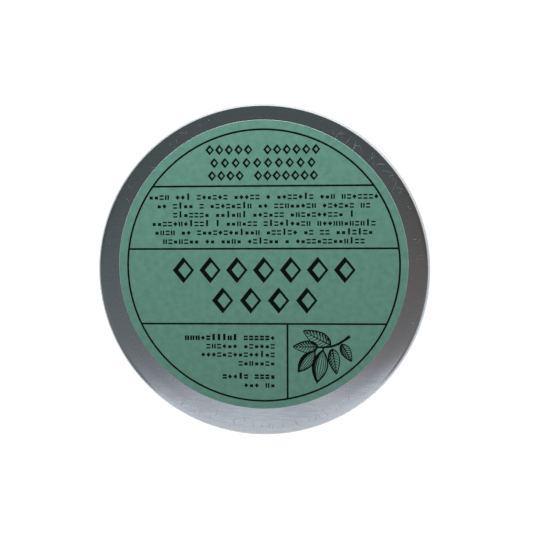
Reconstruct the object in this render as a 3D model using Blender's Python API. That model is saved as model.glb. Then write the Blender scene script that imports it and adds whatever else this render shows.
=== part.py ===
# Round aluminium screw tin with a loose puck of shaving soap inside and a paper label on the lid.
# Metres, +Z up. The origin is the centre of the circle that the closed tin stands on.

import math

import bmesh
import bpy
from mathutils import Matrix, Vector

# Driving dimensions
LID_RADIUS = 0.0415
TIN_HEIGHT = 0.037
SHEET = 0.0004
GAP = 0.0003
SIDES = 48

# Lid
LID_DEPTH = 0.013
SHOULDER_RADIUS = 0.0018
CURL_STANDS_OUT = 0.0003

# Thread: right-handed, rolled into both walls, fading in and out at its ends
THREAD_PITCH = 0.003
THREAD_DEPTH = 0.0008
THREAD_FOOT = 0.0265
THREAD_TOP = 0.0325
THREAD_FADE = 0.001
THREAD_ROWS = 12

# Cup
CUP_RADIUS = 0.041
CUP_CORNER_RADIUS = 0.003
CUP_SHOULDER_RADIUS = 0.0005
NECK_FILLET_RADIUS = 0.0004
UNDERSIDE_RECESS = 0.0008
FOOT_WIDTH = 0.0026
MOUTH_HEIGHT = 0.035
RIM_BEAD_RADIUS = 0.00055

# What the tin holds and carries
PUCK_HEIGHT = 0.021
PUCK_SIDE_GAP = 0.0004
PUCK_EDGE_RADIUS = 0.0015
LINER_RADIUS = 0.0399
LINER_THICKNESS = 0.001
LABEL_RADIUS = 0.0355
LABEL_OFFSET = 0.0014
BASE_LABEL_RADIUS = 0.029
PAPER = 0.00015

# Worked out from the sizes above
SKIRT_RADIUS = LID_RADIUS - CURL_STANDS_OUT
SKIRT_INNER_RADIUS = SKIRT_RADIUS - SHEET
NECK_RADIUS = SKIRT_INNER_RADIUS - GAP - THREAD_DEPTH
RIM_INNER_RADIUS = NECK_RADIUS - 2 * RIM_BEAD_RADIUS
SKIRT_FOOT = TIN_HEIGHT - LID_DEPTH
CUP_SHOULDER_HEIGHT = SKIRT_FOOT - GAP
PUCK_RADIUS = RIM_INNER_RADIUS - PUCK_SIDE_GAP
PUCK_FOOT = UNDERSIDE_RECESS + SHEET + GAP


def clear_scene():
    for item in list(bpy.data.objects):
        bpy.data.objects.remove(item, do_unlink=True)


def make_material(name, colour, roughness, metallic):
    material = bpy.data.materials.new(name)
    material.use_nodes = True
    shader = material.node_tree.nodes["Principled BSDF"]
    shader.inputs["Base Color"].default_value = (*colour, 1.0)
    shader.inputs["Roughness"].default_value = roughness
    shader.inputs["Metallic"].default_value = metallic
    return material


def satin_aluminium():
    return make_material("satin_aluminium", (0.62, 0.64, 0.66), 0.35, 1.0)


def ivory_soap():
    return make_material("ivory_soap", (0.84, 0.78, 0.64), 0.5, 0.0)


def white_foam():
    return make_material("white_foam", (0.9, 0.9, 0.88), 0.8, 0.0)


def green_paper():
    return make_material("green_paper", (0.11, 0.26, 0.2), 0.7, 0.0)


def white_paper():
    return make_material("white_paper", (0.88, 0.87, 0.84), 0.7, 0.0)


def arc(centre_r, centre_z, radius, start_deg, end_deg, steps):
    # points (r, z) on a round stretch of a profile, both ends included
    points = []
    for step in range(steps + 1):
        angle = math.radians(start_deg + (end_deg - start_deg) * step / steps)
        points.append((centre_r + radius * math.cos(angle), centre_z + radius * math.sin(angle)))
    return points


def thread_rows(radius):
    # an upright stretch of wall, cut into rows where the thread will be rolled
    rise = (THREAD_TOP - THREAD_FOOT) / THREAD_ROWS
    return [(radius, THREAD_FOOT + row * rise) for row in range(THREAD_ROWS + 1)]


def thread_wave(x, y, z):
    # 1 on the ridge, 0 in the groove, along a right-handed helix
    turn = 2 * math.pi * (z - THREAD_FOOT) / THREAD_PITCH - math.atan2(y, x)
    return (1 + math.cos(turn)) / 2


def thread_strength(z):
    # rises from 0 at each end of the thread to 1 along its middle
    inside = min(z - THREAD_FOOT, THREAD_TOP - z)
    return max(0.0, min(1.0, inside / THREAD_FADE))


def move_radially(vert, distance):
    outward = Vector((vert.co.x, vert.co.y, 0)).normalized()
    vert.co += outward * distance


def turn_profile(profile):
    # spins a profile, given from the axis and back to it, once around Z
    mesh = bmesh.new()
    verts = [mesh.verts.new((r, 0, z)) for r, z in profile]
    edges = [mesh.edges.new(pair) for pair in zip(verts, verts[1:])]
    bmesh.ops.spin(
        mesh,
        geom=verts + edges,
        cent=(0, 0, 0),
        axis=(0, 0, 1),
        angle=2 * math.pi,
        steps=SIDES,
        use_merge=True,
    )
    bmesh.ops.remove_doubles(mesh, verts=mesh.verts, dist=SHEET / 100)
    bmesh.ops.recalc_face_normals(mesh, faces=mesh.faces)
    return mesh


def add_object(name, bm, material, sharp_angle=40):
    mesh = bpy.data.meshes.new(name)
    bm.to_mesh(mesh)
    bm.free()
    mesh.shade_smooth()
    mesh.set_sharp_from_angle(angle=math.radians(sharp_angle))
    mesh.materials.append(material)
    obj = bpy.data.objects.new(name, mesh)
    bpy.context.scene.collection.objects.link(obj)
    return obj


def add_disc(name, radius, thickness, centre, material):
    # a flat round piece; centre is the middle of its lower face
    bm = bmesh.new()
    bmesh.ops.create_cone(
        bm,
        cap_ends=True,
        segments=SIDES,
        radius1=radius,
        radius2=radius,
        depth=thickness,
        matrix=Matrix.Translation((0, 0, thickness / 2)),
    )
    obj = add_object(name, bm, material)
    obj.location = centre
    return obj


def cup_profile():
    # outside of the sheet first, from the middle of the underside up to the rim, then back down the inside
    corner_r = CUP_RADIUS - CUP_CORNER_RADIUS
    foot_r = corner_r - FOOT_WIDTH
    panel_r = foot_r - UNDERSIDE_RECESS
    mitre = SHEET * math.tan(math.radians(22.5))
    shoulder_r = CUP_RADIUS - CUP_SHOULDER_RADIUS
    shoulder_z = CUP_SHOULDER_HEIGHT - CUP_SHOULDER_RADIUS
    fillet_r = NECK_RADIUS + NECK_FILLET_RADIUS
    fillet_z = CUP_SHOULDER_HEIGHT + NECK_FILLET_RADIUS
    bead_r = NECK_RADIUS - RIM_BEAD_RADIUS
    bead_z = MOUTH_HEIGHT - RIM_BEAD_RADIUS
    inner_neck_r = NECK_RADIUS - SHEET
    bead_end = 360 - math.degrees(math.acos((inner_neck_r - bead_r) / RIM_BEAD_RADIUS))

    outside = [(0, UNDERSIDE_RECESS), (panel_r, UNDERSIDE_RECESS), (foot_r, 0)]
    outside += arc(corner_r, CUP_CORNER_RADIUS, CUP_CORNER_RADIUS, -90, 0, 5)
    outside += arc(shoulder_r, shoulder_z, CUP_SHOULDER_RADIUS, 0, 90, 3)
    outside += arc(fillet_r, fillet_z, NECK_FILLET_RADIUS, 270, 180, 2)
    outside += thread_rows(NECK_RADIUS)
    outside += arc(bead_r, bead_z, RIM_BEAD_RADIUS, 0, bead_end, 8)

    inside = thread_rows(inner_neck_r)[::-1]
    inside += arc(fillet_r, fillet_z, NECK_FILLET_RADIUS + SHEET, 180, 270, 3)
    inside += arc(shoulder_r, shoulder_z, CUP_SHOULDER_RADIUS - SHEET, 90, 0, 1)
    inside += arc(corner_r, CUP_CORNER_RADIUS, CUP_CORNER_RADIUS - SHEET, 0, -90, 4)
    inside += [(foot_r + mitre, SHEET), (panel_r + mitre, UNDERSIDE_RECESS + SHEET)]
    inside += [(0, UNDERSIDE_RECESS + SHEET)]
    return outside + inside


def build_tin_base(material):
    bm = turn_profile(cup_profile())
    for vert in bm.verts:
        wave = thread_wave(*vert.co)
        move_radially(vert, THREAD_DEPTH * wave * thread_strength(vert.co.z))
    return add_object("tin_base", bm, material)


def lid_profile():
    # outside first, from the middle of the top down the skirt and round its curled edge, then up the inside
    shoulder_r = SKIRT_RADIUS - SHOULDER_RADIUS
    shoulder_z = TIN_HEIGHT - SHOULDER_RADIUS
    curl_radius = (LID_RADIUS - SKIRT_INNER_RADIUS) / 2
    curl_r = LID_RADIUS - curl_radius
    curl_z = SKIRT_FOOT + curl_radius
    curl_start = math.degrees(math.acos((SKIRT_RADIUS - curl_r) / curl_radius))

    outside = [(0, TIN_HEIGHT)]
    outside += arc(shoulder_r, shoulder_z, SHOULDER_RADIUS, 90, 0, 6)
    outside += arc(curl_r, curl_z, curl_radius, curl_start, 0, 3)
    outside += arc(curl_r, curl_z, curl_radius, 0, -180, 6)[1:]

    inside = thread_rows(SKIRT_INNER_RADIUS)
    inside += arc(shoulder_r, shoulder_z, SHOULDER_RADIUS - SHEET, 0, 90, 4)
    inside += [(0, TIN_HEIGHT - SHEET)]
    return outside + inside


def build_lid_shell(material):
    bm = turn_profile(lid_profile())
    middle_of_wall = (SKIRT_RADIUS + SKIRT_INNER_RADIUS) / 2
    for vert in bm.verts:
        if math.hypot(vert.co.x, vert.co.y) < middle_of_wall:
            groove = 1 - thread_wave(*vert.co)
            move_radially(vert, -THREAD_DEPTH * groove * thread_strength(vert.co.z))
    return add_object("lid_shell", bm, material)


def build_soap_puck(material):
    puck = add_disc("soap_puck", PUCK_RADIUS, PUCK_HEIGHT, (0, 0, PUCK_FOOT), material)
    edge = puck.modifiers.new("rounded_edge", "BEVEL")
    edge.width = PUCK_EDGE_RADIUS
    edge.segments = 3
    edge.limit_method = "ANGLE"
    edge.angle_limit = math.radians(40)
    return puck


def build_lid_liner(material):
    foot = TIN_HEIGHT - SHEET - GAP - LINER_THICKNESS
    return add_disc("lid_liner", LINER_RADIUS, LINER_THICKNESS, (0, 0, foot), material)


def build_top_label(material):
    centre = (0, LABEL_OFFSET, TIN_HEIGHT + GAP)
    return add_disc("top_label", LABEL_RADIUS, PAPER, centre, material)


def build_base_label(material):
    foot = UNDERSIDE_RECESS - GAP - PAPER
    return add_disc("base_label", BASE_LABEL_RADIUS, PAPER, (0, 0, foot), material)


def build_tin():
    clear_scene()
    aluminium = satin_aluminium()
    build_tin_base(aluminium)
    build_soap_puck(ivory_soap())
    build_base_label(white_paper())
    build_lid_liner(white_foam())
    build_lid_shell(aluminium.copy())
    build_top_label(green_paper())


build_tin()
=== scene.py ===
import math
import random

import bpy
from mathutils import Matrix, Vector, noise


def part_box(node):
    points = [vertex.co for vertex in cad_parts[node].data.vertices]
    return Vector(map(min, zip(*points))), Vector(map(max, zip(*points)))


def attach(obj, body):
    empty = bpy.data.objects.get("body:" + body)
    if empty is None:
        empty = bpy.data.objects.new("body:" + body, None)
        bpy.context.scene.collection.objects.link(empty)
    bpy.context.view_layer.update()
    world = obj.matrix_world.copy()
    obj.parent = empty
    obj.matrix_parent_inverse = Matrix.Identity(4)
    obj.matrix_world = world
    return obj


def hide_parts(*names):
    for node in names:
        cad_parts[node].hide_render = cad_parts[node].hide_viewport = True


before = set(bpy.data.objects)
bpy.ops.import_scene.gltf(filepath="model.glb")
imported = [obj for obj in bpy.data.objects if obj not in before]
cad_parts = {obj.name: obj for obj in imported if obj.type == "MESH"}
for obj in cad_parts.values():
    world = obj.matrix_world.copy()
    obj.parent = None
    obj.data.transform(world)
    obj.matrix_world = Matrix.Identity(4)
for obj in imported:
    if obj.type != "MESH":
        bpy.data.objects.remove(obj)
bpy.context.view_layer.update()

scene = bpy.context.scene
mm = 0.001

# the places that the tin's own parts give
lidLow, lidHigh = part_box("lid_shell")
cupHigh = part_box("tin_base")[1]
puckLow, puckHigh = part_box("soap_puck")
linerLow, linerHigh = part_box("lid_liner")
labelLow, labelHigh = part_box("top_label")
baseLabelLow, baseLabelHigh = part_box("base_label")
labelCentre = (labelLow + labelHigh) / 2
sheet = 0.4 * mm         # thickness of the aluminium
gap = 0.3 * mm           # between parts that touch
hairGap = 0.001 * mm     # between a face and the marks on it


def selectNone():
    if bpy.context.object and bpy.context.object.mode != "OBJECT":
        bpy.ops.object.mode_set(mode="OBJECT")
    bpy.ops.object.select_all(action="DESELECT")


def selectOnly(pieces):
    selectNone()
    for piece in pieces:
        piece.select_set(True)
    bpy.context.view_layer.objects.active = pieces[0]


def joinPieces(name, pieces):
    selectOnly(pieces)
    bpy.ops.object.join()
    joined = bpy.context.object
    joined.name = name
    return joined


def arc(centreRadius, centreHeight, size, startDegrees, endDegrees, steps):
    # (radius, height) points along a round stretch of a turned profile
    points = []
    for step in range(steps + 1):
        angle = math.radians(startDegrees + (endDegrees - startDegrees) * step / steps)
        radius = centreRadius + size * math.cos(angle)
        points.append((radius, centreHeight + size * math.sin(angle)))
    return points


def flat(radii, height):
    # rings across a level face, their radii in millimetres
    return [(radius * mm, height) for radius in radii]


def turnRings(name, profile, sides=192, centre=(0, 0), smoothAngle=35):
    # a filled circle is extruded and resized along the profile, and its face ends up as the far cap
    selectNone()
    radius, height = profile[0]
    bpy.ops.mesh.primitive_circle_add(
        vertices=sides, radius=radius, fill_type="NGON", location=(centre[0], centre[1], height)
    )
    piece = bpy.context.object
    piece.name = name
    bpy.ops.object.transform_apply(location=True, rotation=False, scale=False)
    bpy.ops.object.mode_set(mode="EDIT")
    bpy.ops.mesh.select_all(action="SELECT")
    for nextRadius, nextHeight in profile[1:]:
        rise = nextHeight - height
        bpy.ops.mesh.extrude_region_move(TRANSFORM_OT_translate={"value": (0, 0, rise)})
        grow = nextRadius / radius
        middle = (centre[0], centre[1], nextHeight)
        bpy.ops.transform.resize(value=(grow, grow, 1), center_override=middle)
        radius, height = nextRadius, nextHeight
    bpy.ops.mesh.select_all(action="SELECT")
    bpy.ops.mesh.normals_make_consistent(inside=False)
    bpy.ops.object.mode_set(mode="OBJECT")
    bpy.ops.object.shade_smooth_by_angle(angle=math.radians(smoothAngle))
    return piece


# ---- materials

def newMaterial(name):
    material = bpy.data.materials.new(name)
    material.use_nodes = True
    return material, material.node_tree.nodes["Principled BSDF"]


def addNode(material, kind, settings=None, **inputs):
    node = material.node_tree.nodes.new(kind)
    for key, value in (settings or {}).items():
        setattr(node, key, value)
    for key, value in inputs.items():
        node.inputs[key.replace("_", " ")].default_value = value
    return node


def join(material, outSocket, inSocket):
    material.node_tree.links.new(outSocket, inSocket)


def objectPattern(material, scale=(1, 1, 1), turn=0):
    # Object coordinates, stretched and turned about Z
    coordinates = addNode(material, "ShaderNodeTexCoord")
    mapping = addNode(material, "ShaderNodeMapping")
    mapping.inputs["Scale"].default_value = scale
    mapping.inputs["Rotation"].default_value = (0, 0, math.radians(turn))
    join(material, coordinates.outputs["Object"], mapping.inputs["Vector"])
    return mapping.outputs["Vector"]


def noiseField(material, scale, detail=3, stretch=(1, 1, 1), turn=0):
    field = addNode(material, "ShaderNodeTexNoise", Scale=scale, Detail=detail)
    join(material, objectPattern(material, stretch, turn), field.inputs["Vector"])
    return field.outputs["Fac"]


def remap(material, source, fromLow, fromHigh, toLow, toHigh):
    node = addNode(
        material, "ShaderNodeMapRange", From_Min=fromLow, From_Max=fromHigh, To_Min=toLow, To_Max=toHigh
    )
    join(material, source, node.inputs["Value"])
    return node.outputs["Result"]


def combine(material, operation, first, second):
    node = addNode(material, "ShaderNodeMath", {"operation": operation})
    for place, source in enumerate((first, second)):
        if isinstance(source, (int, float)):
            node.inputs[place].default_value = source
        else:
            join(material, source, node.inputs[place])
    return node.outputs["Value"]


def blendColours(material, amount, first, second):
    # a colour Mix node takes its two colours on sockets 6 and 7 and gives the mix on socket 2
    node = addNode(material, "ShaderNodeMix", {"data_type": "RGBA"})
    join(material, amount, node.inputs["Factor"])
    for place, source in ((6, first), (7, second)):
        if isinstance(source, tuple):
            node.inputs[place].default_value = (*source, 1)
        else:
            join(material, source, node.inputs[place])
    return node.outputs[2]


def addBump(material, shader, height, distance, strength=1.0):
    bump = addNode(material, "ShaderNodeBump", Strength=strength, Distance=distance)
    join(material, height, bump.inputs["Height"])
    join(material, bump.outputs["Normal"], shader.inputs["Normal"])


aluminiumLook = {
    "light": (0.89, 0.9, 0.91),
    "dull": (0.74, 0.75, 0.77),
    "roughness": (0.125, 0.175),
    "clouds": 90,            # a metre, as all such counts here
    "streaks": 300,
    "streakStretch": (1, 9, 3),
    "streakDepth": 0.15,     # as a part of the grain's depth
    "grains": 3000,
    "grainDepth": 0.004 * mm,
}


def satinAluminium(name, turn):
    material, shader = newMaterial(name)
    shader.inputs["Metallic"].default_value = 1.0
    cloud = noiseField(material, aluminiumLook["clouds"], 4)
    grain = noiseField(material, aluminiumLook["grains"], 4)
    streaks = noiseField(material, aluminiumLook["streaks"], 5, aluminiumLook["streakStretch"], turn)
    wear = combine(material, "MULTIPLY", cloud, streaks)
    grainShade = remap(material, grain, 0.3, 0.7, -0.35, 0.65)
    shade = combine(material, "ADD", grainShade, remap(material, wear, 0.12, 0.4, 0, 0.7))
    colour = blendColours(material, shade, aluminiumLook["light"], aluminiumLook["dull"])
    join(material, colour, shader.inputs["Base Color"])
    low, high = aluminiumLook["roughness"]
    join(material, remap(material, wear, 0.1, 0.42, low, high), shader.inputs["Roughness"])
    shallow = combine(material, "MULTIPLY", streaks, aluminiumLook["streakDepth"])
    height = combine(material, "ADD", grain, shallow)
    addBump(material, shader, height, aluminiumLook["grainDepth"], 0.6)
    return material


greenLook = {
    "light": (0.106, 0.239, 0.182),
    "dark": (0.078, 0.185, 0.142),
    "core": (0.52, 0.6, 0.56),       # the cut edge
    "roughness": (0.5, 0.62),
    "mottle": 650,
    "specks": 4200,
    "fibres": 900,
    "fibreDepth": 0.01 * mm,
}


def greenPaper():
    material, shader = newMaterial("greenPrintedPaper")
    mottle = noiseField(material, greenLook["mottle"], 5)
    speck = noiseField(material, greenLook["specks"], 3)
    tone = remap(material, combine(material, "ADD", mottle, speck), 0.75, 1.25, 0, 1)
    colour = blendColours(material, tone, greenLook["dark"], greenLook["light"])
    join(material, colour, shader.inputs["Base Color"])
    join(material, remap(material, speck, 0.3, 0.7, *greenLook["roughness"]), shader.inputs["Roughness"])
    fibres = noiseField(material, greenLook["fibres"], 6, (1, 3, 1), 25)
    addBump(material, shader, combine(material, "ADD", speck, fibres), greenLook["fibreDepth"], 0.5)
    return material


plainPaperLook = {"fibres": 1500, "fibreDepth": 0.012 * mm, "roughness": (0.7, 0.85), "shade": 0.9}


def plainPaper(name, colour):
    # bare paper, on the base label and on both labels' cut edges
    material, shader = newMaterial(name)
    fibres = noiseField(material, plainPaperLook["fibres"], 5, (1, 3, 1), 40)
    darker = tuple(part * plainPaperLook["shade"] for part in colour)
    join(material, blendColours(material, fibres, colour, darker), shader.inputs["Base Color"])
    roughness = remap(material, fibres, 0.3, 0.7, *plainPaperLook["roughness"])
    join(material, roughness, shader.inputs["Roughness"])
    addBump(material, shader, fibres, plainPaperLook["fibreDepth"], 0.5)
    return material


inkLook = {"specks": 5200, "gloss": 0.12, "roughness": (0.5, 0.62), "lift": 2.2}


def printingInk(name, colour):
    # the specks let a little more light back than the rest of the ink
    material, shader = newMaterial(name)
    shader.inputs["Specular IOR Level"].default_value = inkLook["gloss"]
    speck = noiseField(material, inkLook["specks"], 3)
    lifted = tuple(part * inkLook["lift"] + 0.001 for part in colour)
    tone = remap(material, speck, 0.45, 0.8, 0, 1)
    join(material, blendColours(material, tone, colour, lifted), shader.inputs["Base Color"])
    join(material, remap(material, speck, 0.3, 0.7, *inkLook["roughness"]), shader.inputs["Roughness"])
    return material


soapLook = {
    "cream": (0.83, 0.75, 0.58),
    "shade": (0.76, 0.66, 0.47),
    "roughness": (0.38, 0.55),
    "scatter": 0.25,
    "scatterReach": (4 * mm, 3 * mm, 2 * mm),
    "swirls": 55,
    "waves": 130,
    "pits": 1400,
    "pitDepth": 0.03 * mm,
}


def ivorySoap():
    material, shader = newMaterial("ivorySoap")
    shader.inputs["Subsurface Weight"].default_value = soapLook["scatter"]
    shader.inputs["Subsurface Radius"].default_value = soapLook["scatterReach"]
    swirl = addNode(material, "ShaderNodeTexNoise", Scale=soapLook["swirls"], Detail=5, Distortion=1.6)
    join(material, objectPattern(material, (1, 1, 0.6)), swirl.inputs["Vector"])
    colour = blendColours(material, swirl.outputs["Fac"], soapLook["cream"], soapLook["shade"])
    join(material, colour, shader.inputs["Base Color"])
    pits = noiseField(material, soapLook["pits"], 4)
    pitHoles = remap(material, pits, 0.3, 0.42, 0, 1)
    join(material, remap(material, pits, 0.3, 0.7, *soapLook["roughness"]), shader.inputs["Roughness"])
    waves = combine(material, "MULTIPLY", noiseField(material, soapLook["waves"], 4), 3)
    addBump(material, shader, combine(material, "ADD", pitHoles, waves), soapLook["pitDepth"], 0.7)
    return material


foamLook = {
    # the darker colour is painted shade in the foam cells' hollows
    "paintedShadeHollow": (0.84, 0.84, 0.81),
    "wall": (0.92, 0.92, 0.9),
    "roughness": (0.7, 0.85),
    "cells": 1900,
    "cellDepth": 0.04 * mm,
}


def whiteFoam():
    material, shader = newMaterial("whiteFoam")
    cells = addNode(material, "ShaderNodeTexVoronoi", Scale=foamLook["cells"])
    join(material, objectPattern(material), cells.inputs["Vector"])
    # painted shade: the cells' hollows get the darker colour, and the same tone sinks them in the bump
    tone = remap(material, cells.outputs["Distance"], 0, 0.8, 0, 1)
    colour = blendColours(material, tone, foamLook["paintedShadeHollow"], foamLook["wall"])
    join(material, colour, shader.inputs["Base Color"])
    join(material, remap(material, tone, 0, 1, *foamLook["roughness"]), shader.inputs["Roughness"])
    addBump(material, shader, tone, foamLook["cellDepth"], 0.8)
    return material


# ---- the tin

threadLook = {
    "pitch": 3 * mm,
    "depth": 0.8 * mm,
    "foot": 26.5 * mm,
    "top": 32.5 * mm,
    "fade": 1 * mm,          # over which each end of the thread runs out
    "rows": 30,
}


def threadRows(radius):
    rise = (threadLook["top"] - threadLook["foot"]) / threadLook["rows"]
    return [(radius, threadLook["foot"] + row * rise) for row in range(threadLook["rows"] + 1)]


def rollThread(piece, innerRadius, outerRadius, isLid):
    # walls between the two radii are pushed in or out along a right-handed helix
    for vert in piece.data.vertices:
        x, y, z = vert.co
        radius = math.hypot(x, y)
        inside = min(z - threadLook["foot"], threadLook["top"] - z)
        if inside <= 0 or not innerRadius < radius < outerRadius:
            continue
        strength = min(1, inside / threadLook["fade"])
        turn = 2 * math.pi * (z - threadLook["foot"]) / threadLook["pitch"] - math.atan2(y, x)
        ridge = (1 + math.cos(turn)) / 2
        push = (ridge - 1 if isLid else ridge) * threadLook["depth"] * strength
        vert.co.x += push * x / radius
        vert.co.y += push * y / radius


lidShape = {"shoulder": 1.8 * mm, "curlStandsOut": 0.3 * mm}


def makeLid():
    skirt = lidHigh.x - lidShape["curlStandsOut"]
    inner = skirt - sheet
    shoulder = lidShape["shoulder"]
    centreR, centreZ = skirt - shoulder, lidHigh.z - shoulder
    curl = (lidHigh.x - inner) / 2
    curlR, curlZ = lidHigh.x - curl, lidLow.z + curl
    curlStart = math.degrees(math.acos((skirt - curlR) / curl))
    profile = flat((4, 20, 37), lidHigh.z)
    profile += arc(centreR, centreZ, shoulder, 90, 0, 16)
    profile += arc(curlR, curlZ, curl, curlStart, 0, 6)
    profile += arc(curlR, curlZ, curl, 0, -180, 12)[1:]
    profile += threadRows(inner)
    profile += arc(centreR, centreZ, shoulder - sheet, 0, 90, 10)
    profile += flat((20, 4), lidHigh.z - sheet)
    lid = turnRings("satinLid", profile)
    rollThread(lid, inner - 1.5 * threadLook["depth"], inner + sheet / 2, True)
    lid.data.materials.append(satinAluminium("lidAluminium", 18))
    return lid


cupShape = {
    "corner": 3 * mm,
    "shoulder": 0.5 * mm,
    "fillet": 0.4 * mm,
    "recess": 0.8 * mm,
    "recessStep": 1.1 * mm,  # how far in from the foot ring the underside gets level
    "footRound": 0.4 * mm,
    "footWidth": 2.6 * mm,
    "neck": 39.7 * mm,
    "bead": 0.55 * mm,
}


def makeCup():
    wall = cupHigh.x
    corner, shoulder, fillet, bead = (cupShape[key] for key in ("corner", "shoulder", "fillet", "bead"))
    neck = cupShape["neck"]
    recess, step, footRound = (cupShape[key] for key in ("recess", "recessStep", "footRound"))
    shoulderZ = lidLow.z - gap
    footR = wall - corner - cupShape["footWidth"]
    beadR, beadZ = neck - bead, cupHigh.z - bead
    beadEnd = 360 - math.degrees(math.acos((neck - sheet - beadR) / bead))
    profile = flat((4, 20), recess)
    profile += [(footR - step - gap, recess)]
    profile += arc(footR - step, recess - footRound, footRound, 90, 35, 4)
    profile += arc(footR, footRound, footRound, 215, 270, 4)
    profile += arc(wall - corner, corner, corner, -90, 0, 14)
    profile += arc(wall - shoulder, shoulderZ - shoulder, shoulder, 0, 90, 6)
    profile += arc(neck + fillet, shoulderZ + fillet, fillet, 270, 180, 5)
    profile += threadRows(neck)
    profile += arc(beadR, beadZ, bead, 0, beadEnd, 18)
    profile += threadRows(neck - sheet)[::-1]
    profile += arc(neck + fillet, shoulderZ + fillet, fillet + sheet, 180, 270, 6)
    profile += arc(wall - shoulder, shoulderZ - shoulder, shoulder - sheet, 90, 0, 3)
    profile += arc(wall - corner, corner, corner - sheet, 0, -90, 12)
    profile += [(footR, sheet), (footR - step, recess + sheet)]
    profile += flat((20, 4), recess + sheet)
    cup = turnRings("satinCup", profile)
    rollThread(cup, neck - 2 * sheet, neck + sheet, False)
    cup.data.materials.append(satinAluminium("cupAluminium", 74))
    return cup


# ---- paper and print

paperShape = {"thickness": 0.12 * mm, "lean": 0.07 * mm, "footInset": 0.02 * mm, "glue": 0.012 * mm}


def makePaperDisc(name, low, high, foot, faceMaterial, edgeMaterial):
    # a die-cut disc whose cut edge leans in and shows the paler core
    centre = ((low.x + high.x) / 2, (low.y + high.y) / 2)
    radius = (high.x - low.x) / 2
    thickness = paperShape["thickness"]
    profile = [(radius / 3, foot), (radius - paperShape["footInset"], foot)]
    profile += [(radius, foot + thickness * 0.3)]
    profile += [(radius - paperShape["lean"], foot + thickness), (radius / 3, foot + thickness)]
    disc = turnRings(name, profile, 192, centre, 20)
    disc.data.materials.append(faceMaterial)
    disc.data.materials.append(edgeMaterial)
    for face in disc.data.polygons:
        if face.normal.z < 0.9:
            face.material_index = 1
    return disc


def makeLozenge(look, thickness):
    # an open diamond, heavier on its left strokes than on its right ones
    thick, thin = look["thick"], look["thin"]
    selectNone()
    bpy.ops.mesh.primitive_circle_add(vertices=4, radius=0.5, fill_type="NGON", location=(0, 0, 0))
    lozenge = bpy.context.object
    bpy.ops.object.mode_set(mode="EDIT")
    bpy.ops.mesh.select_all(action="SELECT")
    bpy.ops.transform.resize(value=(look["width"], look["height"], 1), center_override=(0, 0, 0))
    bpy.ops.mesh.inset(thickness=(thick + thin) / 2)
    bpy.ops.transform.translate(value=((thick - thin) / 2, 0, 0))
    bpy.ops.mesh.delete(type="FACE")
    bpy.ops.mesh.select_all(action="SELECT")
    bpy.ops.mesh.extrude_region_move(TRANSFORM_OT_translate={"value": (0, 0, thickness)})
    bpy.ops.mesh.select_all(action="SELECT")
    bpy.ops.mesh.normals_make_consistent(inside=False)
    bpy.ops.object.mode_set(mode="OBJECT")
    return lozenge


def stamp(master, place):
    copy = master.copy()
    copy.data = master.data.copy()
    copy.data.transform(Matrix.Translation(place))
    scene.collection.objects.link(copy)
    return copy


def layStrokes(name, strokes, level, flatness=0.03):
    # pen strokes: one curve with a width at each point, made a mesh and pressed nearly flat
    curve = bpy.data.curves.new(name, "CURVE")
    curve.dimensions = "3D"
    curve.bevel_depth = mm / 2
    curve.bevel_resolution = 0
    curve.use_fill_caps = True
    for points, widths, closed in strokes:
        spline = curve.splines.new("POLY")
        spline.points.add(len(points) - 1)
        spline.use_cyclic_u = closed
        for spot, (x, y), width in zip(spline.points, points, widths):
            spot.co = (x, y, 0, 1)
            spot.radius = width / mm
    piece = bpy.data.objects.new(name, curve)
    scene.collection.objects.link(piece)
    selectOnly([piece])
    bpy.ops.object.convert(target="MESH")
    piece = bpy.context.object
    press = Matrix.Diagonal((1, 1, flatness, 1))
    piece.data.transform(Matrix.Translation((0, 0, level)) @ press)
    return piece


def line(points, width):
    return points, [width] * len(points), False


def loop(points, width):
    return points, [width] * len(points), True


def around(centre, radius, steps):
    spots = []
    for step in range(steps):
        angle = 2 * math.pi / steps * step
        spots.append((centre[0] + radius * math.cos(angle), centre[1] + radius * math.sin(angle)))
    return spots


printLook = {
    "line": 0.46 * mm,
    "ringRadius": 33.35 * mm,
    "ringPlace": (0.1 * mm, -0.15 * mm),
    "dividers": (19.6 * mm, 4.35 * mm, -14.2 * mm),
    "uprightX": 6.1 * mm,
    "ink": (0.0015, 0.0025, 0.0025),
    "thickness": 0.008 * mm,     # of the heading's and the title's diamonds
    "seed": 7,
}
markLook = {
    "half": 0.5 * mm,
    "tall": 1.16 * mm,
    "point": 0.05 * mm,
    "pen": 0.37 * mm,
    "boldPen": 0.48 * mm,
}
headingLook = {
    "width": 2.1 * mm,
    "height": 2.55 * mm,
    "thick": 0.52 * mm,      # the left strokes, and thin the right ones
    "thin": 0.36 * mm,
    "middle": 0.2 * mm,
    "rise": 1.25 * mm,
}
headingLines = (
    {"words": (5, 6), "base": 27.1 * mm, "pitch": 2.34 * mm},
    {"words": (10,), "base": 23.95 * mm, "pitch": 2.62 * mm},
    {"words": (4, 7), "base": 20.85 * mm, "pitch": 2.25 * mm},
)
paragraphLook = {"pitch": 1.305 * mm, "firstBase": 16.35 * mm, "leading": 2.16 * mm, "middle": 0.2 * mm}
paragraphWords = (
    (4, 3, 6, 5, 1, 7, 3, 7),
    (2, 4, 1, 8, 2, 8, 6, 2),
    (7, 6, 6, 10, 1),
    (11, 1, 6, 9, 11),
    (4, 2, 12, 6, 2, 2, 7),
    (7, 2, 4, 6, 1, 13),
)
titleLook = {
    "width": 5.3 * mm,
    "height": 6.5 * mm,
    "thick": 1.15 * mm,
    "thin": 0.5 * mm,
    "rise": 3.25 * mm,
}
titleRows = (
    {"count": 7, "middle": 0.3 * mm, "base": -4.15 * mm, "pitch": 6.6 * mm},
    {"count": 4, "middle": 0.5 * mm, "base": -11.65 * mm, "pitch": 6.9 * mm},
)
noteLook = {"pitch": 1.33 * mm, "rightX": 3.1 * mm}
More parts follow.
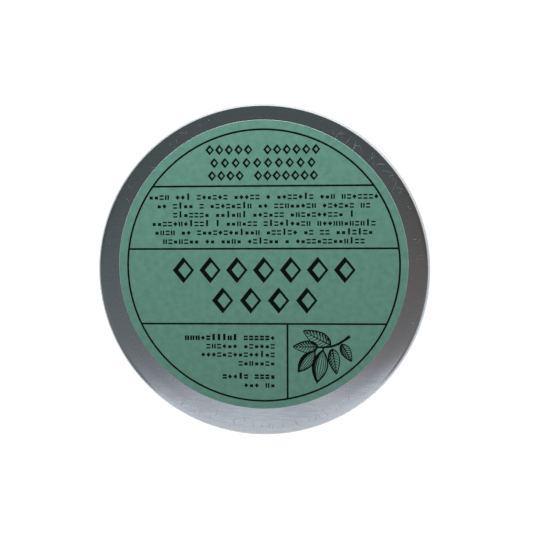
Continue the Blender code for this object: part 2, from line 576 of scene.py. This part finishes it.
noteLines = (
    {"words": (10, 6), "base": -18.3 * mm, "bold": True},
    {"words": (6, 6), "base": -20.4 * mm, "bold": False},
    {"words": (14,), "base": -22.5 * mm, "bold": False},
    {"words": (7,), "base": -24.7 * mm, "bold": False},
    {"words": (5, 4), "base": -28.0 * mm, "bold": True},
    {"words": (3, 2), "base": -30.2 * mm, "bold": False},
)


def wordCells(words):
    # the cell numbers that carry a mark, with one empty cell between words
    cells, cell = [], 0
    for word in words:
        cells += range(cell, cell + word)
        cell += word + 1
    return cells, cell - 1


def smallMark(x, base, draw, pen):
    # one small printer's mark: a lozenge, a tile, two bars, two posts or a tall post
    half, tall, point = markLook["half"], markLook["tall"], markLook["point"]
    kind = draw.choice(("lozenge", "tile", "tile", "bars", "bars", "posts", "tallPost"))
    if kind == "lozenge":
        spots = [(x + side, base + tall / 2) for side in (-half, 0, half)]
        return [(spots, [point, tall, point], False)]
    if kind == "tile":
        return [line([(x + side, base + tall * 0.42) for side in (-half * 0.8, half * 0.8)], pen * 2)]
    if kind == "bars":
        return [line([(x - half, base + y), (x + half, base + y)], pen) for y in (pen / 2, tall - pen / 2)]
    if kind == "posts":
        sides = (x - half * 0.6, x + half * 0.6)
        return [line([(side, base), (side, base + tall)], pen) for side in sides]
    return [line([(x, base), (x, base + tall * 1.35)], pen * 1.3)]


def markRow(words, left, base, pitch, draw, pen):
    strokes = []
    for cell in wordCells(words)[0]:
        strokes += smallMark(left + (cell + 0.5) * pitch, base, draw, pen)
    return strokes


def smallPrint():
    # rows of small marks stand where a label has its words
    draw = random.Random(printLook["seed"])
    x0, y0 = labelCentre.x, labelCentre.y
    strokes = []
    pitch = paragraphLook["pitch"]
    for row, words in enumerate(paragraphWords):
        left = x0 + paragraphLook["middle"] - wordCells(words)[1] * pitch / 2
        base = y0 + paragraphLook["firstBase"] - row * paragraphLook["leading"]
        strokes += markRow(words, left, base, pitch, draw, markLook["pen"])
    pitch = noteLook["pitch"]
    for note in noteLines:
        left = x0 + noteLook["rightX"] - wordCells(note["words"])[1] * pitch
        pen = markLook["boldPen" if note["bold"] else "pen"]
        strokes += markRow(note["words"], left, y0 + note["base"], pitch, draw, pen)
    return strokes


def makeOrnaments(level):
    # open diamonds stand where a label has its heading and its large title
    x0, y0 = labelCentre.x, labelCentre.y
    pieces = []
    small = makeLozenge(headingLook, printLook["thickness"])
    for row in headingLines:
        cells, count = wordCells(row["words"])
        left = x0 + headingLook["middle"] - count * row["pitch"] / 2
        y = y0 + row["base"] + headingLook["rise"]
        for cell in cells:
            pieces.append(stamp(small, (left + (cell + 0.5) * row["pitch"], y, level)))
    large = makeLozenge(titleLook, printLook["thickness"])
    for row in titleRows:
        left = x0 + row["middle"] - (row["count"] - 1) * row["pitch"] / 2
        y = y0 + row["base"] + titleLook["rise"]
        for place in range(row["count"]):
            pieces.append(stamp(large, (left + place * row["pitch"], y, level)))
    bpy.data.objects.remove(small)
    bpy.data.objects.remove(large)
    return pieces


def rules():
    # the printed ring, the dividers across it and the upright between the two lower fields
    pen = printLook["line"]
    ringX = labelCentre.x + printLook["ringPlace"][0]
    ringY = labelCentre.y + printLook["ringPlace"][1]
    radius = printLook["ringRadius"]
    strokes = [loop(around((ringX, ringY), radius, 240), pen)]
    for height in printLook["dividers"]:
        y = labelCentre.y + height
        reach = math.sqrt(radius ** 2 - (y - ringY) ** 2)
        strokes.append(line([(ringX - reach, y), (ringX + reach, y)], pen))
    x = labelCentre.x + printLook["uprightX"]
    top = labelCentre.y + printLook["dividers"][2]
    foot = ringY - math.sqrt(radius ** 2 - (x - ringX) ** 2)
    strokes.append(line([(x, top), (x, foot)], pen))
    return strokes


def outlineOf(foot, heading, length, halfWidth, bulge, steps=16):
    # turns (along, aside) of a leaf or a pod into places on the label, and gives its half width along it
    turn = math.radians(heading)

    def put(along, aside):
        x = foot[0] + along * math.cos(turn) - aside * math.sin(turn)
        return x, foot[1] + along * math.sin(turn) + aside * math.cos(turn)

    def halfAt(part):
        return halfWidth * max(0, math.sin(math.pi * part ** bulge)) ** 0.85

    edges = []
    parts = [step / steps for step in range(steps + 1)]
    for side in (-1, 1):
        edges.append([put(length * part, side * halfAt(part)) for part in parts])
    return put, halfAt, edges


# widths of the drawing's lines in millimetres; the ribs are (place across the pod, width)
leafLook = {
    "bulge": 0.75,
    "edges": (0.34, 0.22),
    "spine": (0.36, 0.24),
    "veins": 8,
    "vein": (0.2, 0.17, 0.14, 0.1),
    "shade": (0.2, 0.15, 0.08),
}
podLook = {
    "bulge": 0.95,
    "edges": (0.5, 0.36),
    "ribs": ((-0.78, 0.36), (-0.58, 0.26), (-0.3, 0.2), (0.1, 0.17), (0.42, 0.16), (0.72, 0.2)),
    "tip": (0.7, 0.2),
    "stalk": (0.3, 0.6),
}


def taper(points, widths):
    return points, [width * mm for width in widths], False


def leafStrokes(foot, heading, length, halfWidth):
    put, halfAt, edges = outlineOf(foot, heading, length, halfWidth, leafLook["bulge"])
    strokes = [line(edge, width * mm) for edge, width in zip(edges, leafLook["edges"])]
    steps = len(edges[0])
    spine = [put(length * step / (steps - 1), 0) for step in range(steps)]
    thick, thinner = leafLook["spine"]
    strokes.append(taper(spine, [thick - thinner * step / steps for step in range(steps)]))
    veins = leafLook["veins"]
    for vein in range(veins):
        start = (vein + 0.4) / (veins + 1.2)
        reach = halfAt(min(start + 0.1, 1))
        for side in (-1, 1):
            curve = []
            for part in (0, 0.35, 0.7, 0.95):
                curve.append(put(length * (start + 0.14 * part), side * reach * part ** 0.8))
            strokes.append(taper(curve, leafLook["vein"]))
        for lag, far in ((0.03, 0.75), (0.055, 0.55)):
            # shading between the veins of the darker half
            shade = []
            for part in (1, 1 - far / 2, 1 - far):
                shade.append(put(length * (start + lag + 0.12 * part), -reach * part))
            strokes.append(taper(shade, leafLook["shade"]))
    return strokes


def podStrokes(foot, heading, length, halfWidth):
    put, halfAt, edges = outlineOf(foot, heading, length, halfWidth, podLook["bulge"])
    strokes = [line(edge, width * mm) for edge, width in zip(edges, podLook["edges"])]
    steps = len(edges[0])
    for aside, width in podLook["ribs"]:
        rib = []
        widths = []
        for step in range(1, steps - 1):
            part = step / (steps - 1)
            rib.append(put(length * part, aside * halfAt(part)))
            widths.append(width * (0.45 + 0.55 * math.sin(math.pi * part)) * mm)
        strokes.append((rib, widths, False))
    tip = [put(length * 0.93, 0), put(length * 1.06, 0)]
    stalk = [put(-0.1 * length, 0), put(0.04 * length, 0)]
    strokes.append(taper(tip, podLook["tip"]))
    strokes.append(taper(stalk, podLook["stalk"]))
    return strokes


# leaves and pods are (x, y, heading in degrees, length, half width), in millimetres from the sprig's middle
sprigLook = {
    "place": (14.5 * mm, -22.3 * mm),
    "leaves": (
        (2.2, 2.8, 152, 7.6, 1.75),
        (-0.9, 2.4, 180, 6.1, 1.45),
        (2.6, 1.9, 280, 6.3, 1.35),
        (4.9, 3.1, 300, 4.9, 1.15),
    ),
    "pods": ((-1.7, 1.3, 232, 6.4, 1.5), (0.3, 1.5, 260, 8.0, 1.8)),
    "twig": ((6.9, 5.1), (5.6, 4.1), (4.2, 3.2), (2.4, 2.5), (0.4, 2.3), (-1.0, 2.3), (-2.0, 1.6)),
    "twigWidths": (0.75, 0.62, 0.6, 0.55, 0.5, 0.42, 0.3),
}


def sprig():
    # a plain twig with four leaves and two pods, in engraver's lines
    x0 = labelCentre.x + sprigLook["place"][0]
    y0 = labelCentre.y + sprigLook["place"][1]
    strokes = []
    for x, y, heading, length, halfWidth in sprigLook["leaves"]:
        strokes += leafStrokes((x0 + x * mm, y0 + y * mm), heading, length * mm, halfWidth * mm)
    for x, y, heading, length, halfWidth in sprigLook["pods"]:
        strokes += podStrokes((x0 + x * mm, y0 + y * mm), heading, length * mm, halfWidth * mm)
    twig = [(x0 + x * mm, y0 + y * mm) for x, y in sprigLook["twig"]]
    strokes.append(taper(twig, sprigLook["twigWidths"]))
    return strokes


def makeTopLabel():
    foot = lidHigh.z + paperShape["glue"]
    face = greenPaper()
    edge = plainPaper("labelCore", greenLook["core"])
    paper = makePaperDisc("greenLabel", labelLow, labelHigh, foot, face, edge)
    level = foot + paperShape["thickness"] + hairGap
    pieces = [layStrokes("strokes", rules() + smallPrint() + sprig(), level)] + makeOrnaments(level)
    marks = joinPieces("labelPrint", pieces)
    marks.data.materials.clear()
    marks.data.materials.append(printingInk("blackInk", printLook["ink"]))
    return paper, marks


baseLook = {
    "paper": (0.86, 0.85, 0.81),
    "edge": (0.8, 0.78, 0.72),
    "ink": (0.05, 0.055, 0.055),
    "ring": 27.4 * mm,
    "ringPen": 0.25 * mm,
    "rows": 11,
    "firstY": 18 * mm,
    "leading": 3.2 * mm,
    "reach": 25 * mm,        # radius of the round block of bars
    "margin": 0.86,
    "barPen": 0.75 * mm,
    "barLengths": (2.2, 8),  # millimetres
    "barGap": 1 * mm,
    "seed": 11,
}


def makeBaseLabel():
    # plain bars stand where a label lists what is in the tin
    foot = baseLabelLow.z
    face = plainPaper("whitePaper", baseLook["paper"])
    edge = plainPaper("whitePaperEdge", baseLook["edge"])
    paper = makePaperDisc("whiteLabel", baseLabelLow, baseLabelHigh, foot, face, edge)
    draw = random.Random(baseLook["seed"])
    strokes = [loop(around((0, 0), baseLook["ring"], 160), baseLook["ringPen"])]
    for row in range(baseLook["rows"]):
        y = baseLook["firstY"] - row * baseLook["leading"]
        reach = math.sqrt(baseLook["reach"] ** 2 - y ** 2) * baseLook["margin"]
        x = -reach
        while x < reach - 3 * mm:
            length = min(draw.uniform(*baseLook["barLengths"]) * mm, reach - x)
            strokes.append(line([(x, y), (x + length, y)], baseLook["barPen"]))
            x += length + baseLook["barGap"]
    marks = layStrokes("baseLabelPrint", strokes, foot - hairGap, 0.01)
    marks.data.materials.append(printingInk("greyInk", baseLook["ink"]))
    return paper, marks


# ---- what is inside

puckShape = {
    "edge": 1.5 * mm,
    "footEdge": 1.1 * mm,
    "crown": 0.35 * mm,
    "draft": 0.15 * mm,      # how much narrower it is at the top
    "grooveRadius": 31 * mm,
    "grooveDepth": 0.35 * mm,
    "grooveWidth": 0.7 * mm,
    "topRings": 40,
    "topRingStep": 0.75 * mm,
    "wobble": 0.1 * mm,
    "wobbles": 90,           # a metre
}


def makePuck():
    radius = puckHigh.x
    edge, footEdge = puckShape["edge"], puckShape["footEdge"]
    crown, draft = puckShape["crown"], puckShape["draft"]
    low, top = puckLow.z, puckHigh.z
    profile = flat((6, 18, 30), low)
    profile += arc(radius - footEdge, low + footEdge, footEdge, -90, 0, 8)
    profile += [(radius - draft / 2, low + (top - low) * 0.5)]
    profile += arc(radius - edge - draft, top - edge - crown, edge, 0, 80, 12)
    for step in range(puckShape["topRings"]):
        ringR = 36 * mm - step * puckShape["topRingStep"]
        drop = crown * (ringR / radius) ** 2
        across = (ringR - puckShape["grooveRadius"]) / puckShape["grooveWidth"]
        groove = puckShape["grooveDepth"] * math.exp(-across ** 2)
        profile.append((ringR, top - drop - groove))
    profile += [(3 * mm, top - 0.001 * mm)]
    puck = turnRings("soapCake", profile, 128, (0, 0), 60)
    for vert in puck.data.vertices:
        wobble = noise.noise(vert.co * puckShape["wobbles"]) * puckShape["wobble"]
        if vert.co.z > puckLow.z + 3 * mm:
            vert.co.z -= abs(wobble)
    puck.data.materials.append(ivorySoap())
    return puck


linerShape = {"edge": 0.2 * mm, "printDepth": 0.16 * mm}


def makeLiner():
    # the rim of the cup has left its ring in the foam
    radius = linerHigh.x
    low, high = linerLow.z, linerHigh.z
    edge = linerShape["edge"]
    profile = flat((6, 22, 38.3), low)
    profile += flat((38.7, 39.3), low + linerShape["printDepth"])
    profile += flat((39.6,), low)
    profile += arc(radius - edge, low + edge, edge, -60, 0, 3)
    profile += arc(radius - edge, high - edge, edge, 0, 90, 4)
    profile += flat((22, 6), high)
    liner = turnRings("foamLiner", profile, 160)
    liner.data.materials.append(whiteFoam())
    return liner


# ---- wear on the lid

scratchLook = {
    "light": (0.92, 0.92, 0.92),
    "dull": (0.7, 0.71, 0.73),
    "roughness": (0.5, 0.75),
    "flecks": 3000,
    "width": 0.075 * mm,
    "flatness": 0.04,
    "reach": (36 * mm, 39.3 * mm),   # the flat ring that the label leaves bare
    "seed": 41,
}
# angles in degrees from the right, lengths in millimetres as least, most and usual
scratchZones = (
    {"from": 32, "to": 64, "count": 18, "lengths": (0.5, 3.8, 1.5), "lean": 65},
    {"from": 0, "to": 32, "count": 9, "lengths": (0.3, 1.6, 0.6), "lean": 60},
    {"from": 110, "to": 165, "count": 7, "lengths": (0.4, 2.4, 0.9), "lean": 60},
    {"from": 232, "to": 305, "count": 34, "lengths": (0.4, 2.2, 0.8), "lean": 28},
    {"from": 0, "to": 360, "count": 16, "lengths": (0.3, 1.4, 0.5), "lean": 90},
)


def scratchedAluminium():
    material, shader = newMaterial("scratchedAluminium")
    shader.inputs["Metallic"].default_value = 1.0
    fleck = noiseField(material, scratchLook["flecks"], 2)
    colour = blendColours(material, fleck, scratchLook["light"], scratchLook["dull"])
    join(material, colour, shader.inputs["Base Color"])
    join(material, remap(material, fleck, 0.3, 0.7, *scratchLook["roughness"]), shader.inputs["Roughness"])
    return material


def scratchStroke(centreRadius, angle, heading, length, bend):
    # a thin curved hairline that thins out at both ends
    points, widths = [], []
    steps = 6
    for step in range(steps + 1):
        part = step / steps
        along = (part - 0.5) * length
        aside = bend * length * (0.25 - (part - 0.5) ** 2)
        x = centreRadius * math.cos(angle) + along * math.cos(heading) - aside * math.sin(heading)
        y = centreRadius * math.sin(angle) + along * math.sin(heading) + aside * math.cos(heading)
        points.append((x, y))
        widths.append(scratchLook["width"] * (0.15 + math.sin(math.pi * part)))
    return points, widths, False


def makeScratches():
    draw = random.Random(scratchLook["seed"])
    nearest, farthest = scratchLook["reach"]
    strokes = []
    for zone in scratchZones:
        for _ in range(zone["count"]):
            angle = math.radians(draw.uniform(zone["from"], zone["to"]))
            centreRadius = draw.uniform(37.0, 39.4) * mm
            length = draw.triangular(*zone["lengths"]) * mm
            heading = angle + math.radians(draw.uniform(-zone["lean"], zone["lean"]))
            halfAcross = abs(math.cos(heading - angle)) * length / 2
            centreRadius = max(min(centreRadius, farthest - halfAcross), nearest)
            bend = draw.uniform(-0.5, 0.5)
            strokes.append(scratchStroke(centreRadius, angle, heading, length, bend))
    level = lidHigh.z + hairGap
    scratches = layStrokes("lidScratches", strokes, level, scratchLook["flatness"])
    scratches.data.materials.append(scratchedAluminium())
    return scratches


# ---- assembly

print("turning the lid and the cup")
lid = makeLid()
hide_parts("lid_shell")
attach(lid, "lid")
cup = makeCup()
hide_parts("tin_base")
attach(cup, "tin")

print("cutting the labels and printing them")
greenLabel, labelPrint = makeTopLabel()
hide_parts("top_label")
for piece in (greenLabel, labelPrint):
    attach(piece, "lid")
whiteLabel, baseLabelPrint = makeBaseLabel()
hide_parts("base_label")
for piece in (whiteLabel, baseLabelPrint):
    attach(piece, "tin")

print("pressing the soap and the liner")
puck = makePuck()
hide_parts("soap_puck")
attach(puck, "puck")
liner = makeLiner()
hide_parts("lid_liner")
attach(liner, "liner")


print("wearing the lid")
scratches = makeScratches()
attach(scratches, "lid")

# ---- floor, light and camera

# the glow is for lighting the tin and for the camera, which sees the floor plain white
floorLook = {"size": 5.0, "colour": (0.8, 0.82, 0.84), "glow": (0.3, 1.0), "drop": 0.05 * mm}


def makeFloor():
    selectNone()
    bpy.ops.mesh.primitive_plane_add(size=floorLook["size"], location=(0, 0, -floorLook["drop"]))
    floor = bpy.context.object
    floor.name = "paleFloor"
    material, shader = newMaterial("paleFloorPaint")
    shader.inputs["Base Color"].default_value = (*floorLook["colour"], 1)
    shader.inputs["Roughness"].default_value = 0.9
    shader.inputs["Emission Color"].default_value = (1, 1, 1, 1)
    ray = addNode(material, "ShaderNodeLightPath")
    glow = remap(material, ray.outputs["Is Camera Ray"], 0, 1, *floorLook["glow"])
    join(material, glow, shader.inputs["Emission Strength"])
    floor.data.materials.append(material)
    return floor


worldLook = {
    "frontEdge": -0.243,       # the front card starts this far from straight up, as a sine
    "frontSoftness": 0.015,
    "frontSpread": 0.9,        # how wide it gets towards the horizon
    "frontSides": (-0.08, 0.1),
    "frontColour": (0.56, 0.6, 0.65),
    "glow": 0.14,              # how strongly the card's light spills towards straight up
    "glowStart": 0.05,
    "dimLeft": (0.072, 0.088, 0.09),
    "dimRight": (0.09, 0.074, 0.066),
    "dimChange": (0.06, 0.24),
    "horizon": 0.27,           # height of the pale strip above the floor, as a sine
    "horizonSoftness": 0.01,
    "horizonTilt": 0.15,       # the strip is higher at the back on the right
    "horizonColour": (1.1, 1.12, 1.14),
    "paleSky": (1.0, 1.0, 1.0),
}


def makeWorld():
    world = bpy.data.worlds.new("studio")
    scene.world = world
    world.use_nodes = True
    back = world.node_tree.nodes["Background"]
    coordinates = addNode(world, "ShaderNodeTexCoord")
    split = addNode(world, "ShaderNodeSeparateXYZ")
    join(world, coordinates.outputs["Generated"], split.inputs["Vector"])
    x, y, z = (split.outputs[axis] for axis in "XYZ")
    edge, soft = worldLook["frontEdge"], worldLook["frontSoftness"]
    card = remap(world, y, edge + soft, edge - soft, 0, 1)
    spread = combine(world, "MULTIPLY", y, worldLook["frontSpread"])
    wide = combine(world, "ADD", combine(world, "ABSOLUTE", x, 0), spread)
    card = combine(world, "MULTIPLY", card, remap(world, wide, *worldLook["frontSides"], 1, 0))
    spill = remap(world, y, worldLook["glowStart"], edge, 0, worldLook["glow"])
    lit = combine(world, "MAXIMUM", card, spill)
    side = remap(world, combine(world, "SUBTRACT", x, y), *worldLook["dimChange"], 0, 1)
    dim = blendColours(world, side, worldLook["dimLeft"], worldLook["dimRight"])
    light = blendColours(world, lit, dim, worldLook["frontColour"])
    rise = combine(world, "MULTIPLY", combine(world, "ADD", x, y), -worldLook["horizonTilt"])
    horizon, soft = worldLook["horizon"], worldLook["horizonSoftness"]
    low = remap(world, combine(world, "ADD", z, rise), horizon + soft, horizon - soft, 0, 1)
    north = remap(world, y, 0, 1, 0, 1)
    strip = blendColours(world, north, worldLook["frontColour"], worldLook["horizonColour"])
    light = blendColours(world, low, light, strip)
    ray = addNode(world, "ShaderNodeLightPath")
    seen = blendColours(world, ray.outputs["Is Camera Ray"], light, worldLook["paleSky"])
    join(world, seen, back.inputs["Color"])


keyLook = {"place": (-0.02, 0.165, 0.205), "size": 0.12, "power": 0.71, "colour": (1.0, 1.0, 1.0)}


def makeKeyLight():
    light = bpy.data.lights.new("softKey", "AREA")
    light.size = keyLook["size"]
    light.energy = keyLook["power"]
    light.color = keyLook["colour"]
    lamp = bpy.data.objects.new("softKey", light)
    lamp.location = keyLook["place"]
    aim = Vector((0, 0, lidHigh.z)) - Vector(keyLook["place"])
    lamp.rotation_euler = aim.to_track_quat("-Z", "Y").to_euler()
    lamp.visible_glossy = False
    lamp.visible_camera = False
    scene.collection.objects.link(lamp)


cameraLook = {
    "place": (9.54 * mm, 14.51 * mm, lidHigh.z + 170.9 * mm),
    "aim": (1.0 * mm, 1.37 * mm, lidHigh.z),
    "roll": -0.3,            # degrees
    "lens": 47.3,
    "sensor": 36,
}


def makeCamera():
    camera = bpy.data.cameras.new("shopCamera")
    camera.lens = cameraLook["lens"]
    camera.sensor_width = cameraLook["sensor"]
    camera.clip_start = 0.01
    holder = bpy.data.objects.new("shopCamera", camera)
    place = Vector(cameraLook["place"])
    back = (place - Vector(cameraLook["aim"])).normalized()
    right = Vector((0, 1, 0)).cross(back).normalized()
    turn = Matrix((right, back.cross(right), back)).transposed()
    roll = Matrix.Rotation(math.radians(cameraLook["roll"]), 3, "Z")
    holder.matrix_world = Matrix.Translation(place) @ (turn @ roll).to_4x4()
    scene.collection.objects.link(holder)
    scene.camera = holder


print("setting the studio")
makeFloor()
makeWorld()
makeKeyLight()
makeCamera()
scene.view_settings.view_transform = "Standard"
